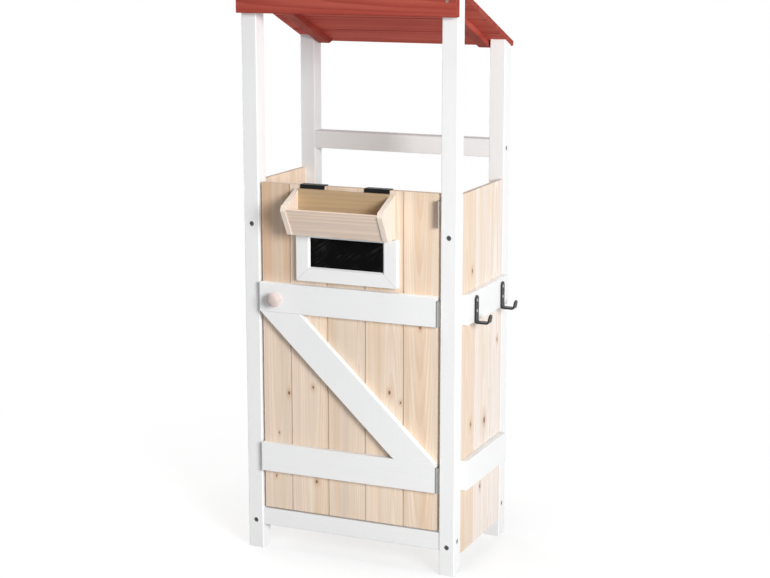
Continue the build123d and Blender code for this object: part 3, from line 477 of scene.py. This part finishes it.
def metal(name, colour, worn, roughness, metallic=1.0, gloss=0.5, darker_above=None):
    """Plated or coated steel with a fine grit, rubbed brighter in places, and painted darker above some
    height, which on the top hinge is painted shade.
    """
    paint = Paint(name, roughness, metallic, gloss)
    cloud = paint.noise(METAL_CLOUD, 3.0)
    fine = paint.noise(METAL_GRIT, 2.0, 4.0)
    tone = paint.mix(cloud.ease(*WORN_CLOUD) * WORN_SHARE, colour, worn)
    # Painted darker above that height: painted shade on the top hinge
    if darker_above is not None:
        tone = paint.mix(paint.at[Z].ease(darker_above, darker_above + DARKER_BLEND), tone, DARKER_ZINC)
    paint.colour(paint.shade(tone, fine * 0.16 + 0.92))
    paint.roughness(cloud * 0.18 + (roughness - 0.09))
    paint.bump(fine, METAL_RELIEF, 0.6)
    return paint.material


def slate_board(name):
    """Black chalkboard lacquer with the dust of wiped chalk on it."""
    paint = Paint(name, 0.62, gloss=0.02)
    slanted = [
        paint.at[X] * WIPE_ALONG + paint.at[Z] * WIPE_UP,
        paint.at[Y],
        paint.at[Z] * WIPE_ALONG - paint.at[X] * WIPE_UP,
    ]
    wiped = paint.noise(WIPE_STROKE, 3.0, 3.0, slanted)
    patch = paint.noise(WIPE_PATCH, 2.0, 12.0)
    grit = paint.noise(SLATE_GRIT, 1.0, 1.0)
    smeared = wiped.ease(*STROKE_DUST) * patch.ease(*PATCH_DUST) * WIPED_SHARE
    dust = smeared + grit.ease(*GRIT_DUST) * GRIT_SHARE
    paint.colour(paint.mix(dust, SLATE_BLACK, CHALK_DUST))
    paint.bump(grit, SLATE_RELIEF, 0.6)
    return paint.material


def plastic(name, colour):
    """Moulded plastic with a fine sparked texture."""
    paint = Paint(name, 0.42)
    fine = paint.noise(PLASTIC_GRIT, 2.0)
    cloud = paint.noise(PLASTIC_CLOUD, 2.0, 6.0)
    paint.colour(paint.shade(colour, fine * 0.08 + cloud * 0.06 + 0.93))
    paint.bump(fine, PLASTIC_RELIEF, 0.7)
    return paint.material


def dress(node, material):
    nodes[node].data.materials.clear()
    nodes[node].data.materials.append(material)


SPRUCE = (SPRUCE_EARLY, SPRUCE_LATE, SPRUCE_WARM, SPRUCE_PINK)
RED = (RED_EARLY, RED_LATE, RED_PALE, RED_LATE)
PALE_SPRUCE = (SPRUCE_PALE, SPRUCE_LATE, SPRUCE_EARLY, SPRUCE_PALE)
TROUGH = (TROUGH_EARLY, TROUGH_LATE, TROUGH_WARM, TROUGH_PINK)
TROUGH_END = (END_EARLY, END_LATE, SPRUCE_EARLY, END_EARLY)
TROUGH_INSIDE_SHADE = (OLIVE_SHADE_EARLY, OLIVE_SHADE_LATE, OLIVE_SHADE_WARM, OLIVE_SHADE_EARLY)
KNOB = (KNOB_EARLY, KNOB_LATE, KNOB_LATE, KNOB_EARLY)

# Knots that the photograph shows: (across, height, radius) on the boards' faces
KNOTS = {
    "door_plank_1": [(-0.1767, 0.3965, 0.0030), (-0.2041, 0.2956, 0.0016), (-0.2131, 0.1867, 0.0020)],
    "door_plank_2": [(-0.1131, 0.4169, 0.0022), (-0.1059, 0.1849, 0.0030)],
    "door_plank_3": [(-0.0310, 0.8420, 0.0026)],
    "door_plank_4": [(0.0833, 0.4252, 0.0031), (0.1115, 0.4041, 0.0020)],
    "door_plank_5": [(0.1595, 0.5860, 0.0024)],
    "right_plank_1": [(-0.0378, 0.7082, 0.0034), (-0.0398, 0.3428, 0.0036)],
    "right_plank_2": [(0.0513, 0.3300, 0.0056), (0.0266, 0.1720, 0.0034)],
    "right_plank_3": [(0.1350, 0.5100, 0.0030)],
}

# How each wood is laid and finished, with the painted shade and light it takes, where it differs from the
# plain one
DOOR_LOOK = {"bevel_shade": GROOVE_SHADE, "streak": 0.48}
RIGHT_LOOK = {"bevel_shade": PALE_GROOVE_SHADE, "streak": 0.24}
LEFT_LOOK = {"bevel_shade": GROOVE_SHADE, "knots": 2}
# The roof boards' undersides get painted light
ROOF_LOOK = {"spacing": 0.0062, "contrast": 0.62, "roughness": 0.6, "gloss": RED_GLOSS, "underside_light": 0.5}
BATTEN_LOOK = {"spacing": 0.0055, "contrast": 0.6, "gloss": RED_GLOSS}
FASCIA_LOOK = {"spacing": 0.0070, "contrast": 0.7, "gloss": RED_GLOSS}
TROUGH_LOOK = {"spacing": 0.0085, "contrast": 0.75, "streak": 0.50}
END_LOOK = {"spacing": 0.0046}
KNOB_LOOK = {"spacing": 0.0016, "contrast": 0.35, "roughness": 0.42}

# Bare boards of the door and the sides
for number in range(1, 6):
    plank = f"door_plank_{number}"
    dress(plank, wood(plank, Z, SPRUCE, knots=KNOTS[plank], brown_and_shadow=number == 1, **DOOR_LOOK))
for number in range(1, 4):
    plank = f"right_plank_{number}"
    tones = SPRUCE if number == 1 else PALE_SPRUCE
    dress(plank, wood(plank, Z, tones, knots=KNOTS[plank], **RIGHT_LOOK))
    plank = f"left_plank_{number}"
    dress(plank, wood(plank, Z, SPRUCE, **LEFT_LOOK))

# White painted posts and rails
for post in ("post_front_left", "post_front_right", "post_rear_left", "post_rear_right"):
    dress(post, painted(post, Z))
for rail in ("front_bottom_rail", "rear_bottom_rail", "rear_top_rail", "door_upper_rail", "door_lower_rail"):
    dress(rail, painted(rail, X))
for side in ("left", "right"):
    for rail in ("upper_rail", "lower_rail", "upper_batten", "lower_batten"):
        dress(f"{side}_{rail}", painted(f"{side}_{rail}", Y))
dress("door_brace", painted("door_brace", Z))

# Frame of the chalkboard, mitred at its lower corners
low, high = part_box("chalk_frame_bottom")
left_mitre = (low[X], low[Z], 1)
right_mitre = (high[X], low[Z], -1)
dress("chalk_frame_left", painted("chalk_frame_left", Z, [left_mitre]))
dress("chalk_frame_right", painted("chalk_frame_right", Z, [right_mitre]))
dress("chalk_frame_bottom", painted("chalk_frame_bottom", X, [left_mitre, right_mitre]))
dress("chalk_frame_top", painted("chalk_frame_top", X))

# Red stained roof
for number in range(1, 5):
    board = f"roof_board_{number}"
    dress(board, wood(board, X, RED, **ROOF_LOOK))
for side in ("left", "right"):
    batten = f"roof_batten_{side}"
    dress(batten, wood(batten, Y, RED, **BATTEN_LOOK))
dress("fascia_board", wood("fascia_board", X, RED, **FASCIA_LOOK))

# Trough, knob and chalkboard
# The back board takes the darker copy of the trough wood: painted shade inside the trough
for board, tones in (("trough_back", TROUGH_INSIDE_SHADE), ("trough_front", TROUGH), ("trough_bottom", TROUGH)):
    dress(board, wood(board, X, tones, **TROUGH_LOOK))
for end in ("trough_end_left", "trough_end_right"):
    dress(end, wood(end, Z, TROUGH_END, **END_LOOK))
dress("knob", wood("knob", Y, KNOB, **KNOB_LOOK))
dress("slate", slate_board("slate"))

# Metal and plastic
powder = metal("hook_steel", HOOK_BLACK, HOOK_WORN, 0.40, metallic=0.0, gloss=0.35)
lacquer = metal("strap_steel", STRAP_BLACK, STRAP_WORN, 0.35, metallic=0.0, gloss=0.2)
# The top hinge is painted darker: painted shade in its gap
zinc = metal("hinge_steel", HINGE_ZINC, HINGE_WORN, 0.38, darker_above=TOP_HINGE_FOOT)
dark_bolt = metal("bolt_steel", BOLT_GREY, BOLT_WORN, 0.42)
bright_screw = metal("screw_steel", SCREW_ZINC, SCREW_WORN, 0.30, darker_above=FASCIA_SCREWS_FOOT)
for hardware in ("hook_front", "hook_rear"):
    dress(hardware, powder)
dress("trough_straps", lacquer)
for hardware in ("frame_hinge_leaves", "door_hinge_leaves", "hinge_pins"):
    dress(hardware, zinc)
for hardware in ("frame_bolts", "cross_nuts"):
    dress(hardware, dark_bolt)
for hardware in ("frame_screws", "door_screws", "trough_screws", "strike_plate"):
    dress(hardware, bright_screw)
dress("magnet_catch", plastic("catch_plastic", CATCH_PLASTIC))


def add_camera():
    lens = bpy.data.cameras.new("camera")
    lens.sensor_width = SENSOR
    lens.lens = FOCAL_PIXELS * SENSOR / PICTURE_WIDTH
    camera = bpy.data.objects.new("camera", lens)
    camera.location = CAMERA_PLACE
    camera.rotation_euler = (math.radians(90 - CAMERA_PITCH), 0, math.radians(CAMERA_AZIMUTH))
    bpy.context.scene.collection.objects.link(camera)
    bpy.context.scene.camera = camera


def softbox(name, place, aim, size, power):
    lamp = bpy.data.lights.new(name, "AREA")
    lamp.shape = "RECTANGLE"
    lamp.size, lamp.size_y = size
    lamp.energy = power
    box = bpy.data.objects.new(name, lamp)
    box.location = place
    box.rotation_mode = "QUATERNION"
    box.rotation_quaternion = (Vector(aim) - Vector(place)).to_track_quat("-Z", "Y")
    bpy.context.scene.collection.objects.link(box)


def seen_directly(tree):
    """1 for camera, glossy and transmission rays, which see the white background."""
    path = tree.nodes.new("ShaderNodeLightPath")
    seen = path.outputs["Is Camera Ray"]
    for ray in ("Is Glossy Ray", "Is Transmission Ray"):
        either = tree.nodes.new("ShaderNodeMath")
        either.operation = "MAXIMUM"
        tree.links.new(seen, either.inputs[0])
        tree.links.new(path.outputs[ray], either.inputs[1])
        seen = either.outputs[0]
    return seen


def add_world():
    world = bpy.data.worlds.new("studio")
    world.use_nodes = True
    tree = world.node_tree
    light = tree.nodes["Background"]
    light.inputs["Color"].default_value = (1, 1, 1, 1)
    light.inputs["Strength"].default_value = WORLD_LIGHT
    white = tree.nodes.new("ShaderNodeBackground")
    white.inputs["Color"].default_value = (1, 1, 1, 1)
    white.inputs["Strength"].default_value = 1.0
    either = tree.nodes.new("ShaderNodeMixShader")
    tree.links.new(seen_directly(tree), either.inputs[0])
    tree.links.new(light.outputs[0], either.inputs[1])
    tree.links.new(white.outputs[0], either.inputs[2])
    tree.links.new(either.outputs[0], tree.nodes["World Output"].inputs["Surface"])
    bpy.context.scene.world = world


def add_floor():
    material = bpy.data.materials.new("studio_floor")
    material.use_nodes = True
    tree = material.node_tree
    tree.nodes.remove(tree.nodes["Principled BSDF"])
    bounce = tree.nodes.new("ShaderNodeBsdfDiffuse")
    bounce.inputs["Color"].default_value = FLOOR_SHEEN
    shaded = tree.nodes.new("ShaderNodeBsdfDiffuse")
    shaded.inputs["Color"].default_value = FLOOR_SEEN
    glow = tree.nodes.new("ShaderNodeEmission")
    glow.inputs["Strength"].default_value = FLOOR_GLOW
    seen = tree.nodes.new("ShaderNodeAddShader")
    tree.links.new(shaded.outputs[0], seen.inputs[0])
    tree.links.new(glow.outputs[0], seen.inputs[1])
    place = tree.nodes.new("ShaderNodeTexCoord")
    away = tree.nodes.new("ShaderNodeVectorMath")
    away.operation = "LENGTH"
    fade = tree.nodes.new("ShaderNodeMapRange")
    fade.interpolation_type = "SMOOTHSTEP"
    fade.inputs["From Min"].default_value, fade.inputs["From Max"].default_value = FLOOR_FADE
    white = tree.nodes.new("ShaderNodeEmission")
    faded = tree.nodes.new("ShaderNodeMixShader")
    tree.links.new(place.outputs["Object"], away.inputs[0])
    tree.links.new(away.outputs["Value"], fade.inputs["Value"])
    tree.links.new(fade.outputs[0], faded.inputs[0])
    tree.links.new(seen.outputs[0], faded.inputs[1])
    tree.links.new(white.outputs[0], faded.inputs[2])
    final = tree.nodes.new("ShaderNodeMixShader")
    tree.links.new(seen_directly(tree), final.inputs[0])
    tree.links.new(bounce.outputs[0], final.inputs[1])
    tree.links.new(faded.outputs[0], final.inputs[2])
    tree.links.new(final.outputs[0], tree.nodes["Material Output"].inputs["Surface"])
    mesh = bpy.data.meshes.new("floor")
    half = FLOOR_REACH
    corners = [(-half, -half, 0), (half, -half, 0), (half, half, 0), (-half, half, 0)]
    mesh.from_pydata(corners, [], [(0, 1, 2, 3)])
    floor = bpy.data.objects.new("floor", mesh)
    mesh.materials.append(material)
    bpy.context.scene.collection.objects.link(floor)


add_camera()
add_world()
add_floor()
softbox("key", *KEY)
softbox("top", *TOP)
softbox("back", *BACK)

bpy.context.scene.view_settings.view_transform = "Standard"
